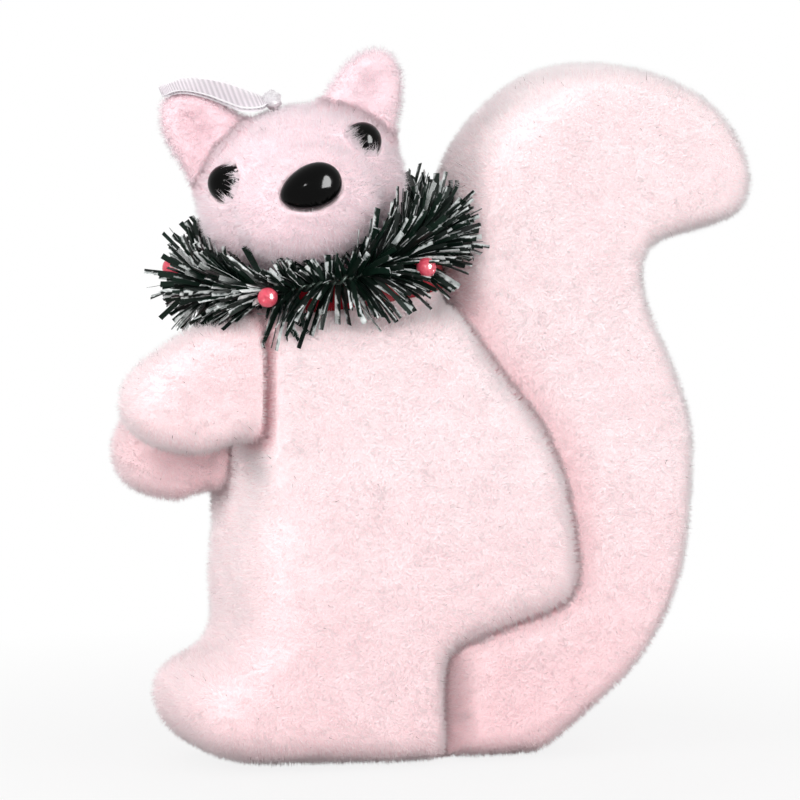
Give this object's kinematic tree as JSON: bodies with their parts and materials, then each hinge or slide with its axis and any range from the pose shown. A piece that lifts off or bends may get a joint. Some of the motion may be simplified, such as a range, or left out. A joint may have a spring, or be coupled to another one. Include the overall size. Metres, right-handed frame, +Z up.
{
  "type": "squirrel hanging ornament",
  "caption": "Flocked foam squirrel ornament sitting in profile with a curled tail, bead eyes and nose, a frosted needle garland with bead berries, and a ribbon hanging loop.",
  "frame": {"origin": "bottom centre of the figure's bounding box, on the surface that its flat sole stands on", "axes": "+Z up; the body faces -X and the tail is towards +X; -Y is the side of the picture, which the face turns to"},
  "size_m": [0.1336, 0.0686, 0.1414],
  "materials": {
    "foam": "short soft flock over foam",
    "bead": "high gloss",
    "peg": "raw turned wood",
    "needle": "cut film with patchy frosting",
    "stem_wire": "thin lacquered wire",
    "berry": "pearly",
    "collar": "smooth ribbon",
    "ribbon": "sheer ribbed organza",
    "pin": "bright"
  },
  "bodies": {
    "figure": {"torso": "foam", "tail": "foam", "near_arm": "foam", "far_arm": "foam", "head": "foam", "left_ear": "foam", "right_ear": "foam", "left_eye": "bead", "right_eye": "bead", "nose": "bead", "neck_peg": "peg", "tail_peg_1": "peg", "tail_peg_2": "peg", "near_arm_peg": "peg", "far_arm_peg": "peg", "collar": "collar", "garland_1": "needle", "garland_2": "needle", "garland_3": "needle", "garland_4": "needle", "berry_1": "berry", "berry_2": "berry", "berry_3": "berry", "berry_4": "berry", "berry_5": "berry", "berry_wire_1": "stem_wire", "berry_wire_2": "stem_wire", "berry_wire_3": "stem_wire", "berry_wire_4": "stem_wire", "berry_wire_5": "stem_wire", "ribbon_knot": "ribbon", "loop_pin": "pin"},
    "loop": {"ribbon_loop": "ribbon"}
  },
  "joints": [
    {"name": "loop_swing", "type": "hinge", "parent": "figure", "child": "loop", "pos_m": [-0.03129, 0.00291, 0.13131], "axis": [0.2115, 0.9659, 0.1496], "range_deg": [0, 100]}
  ]
}
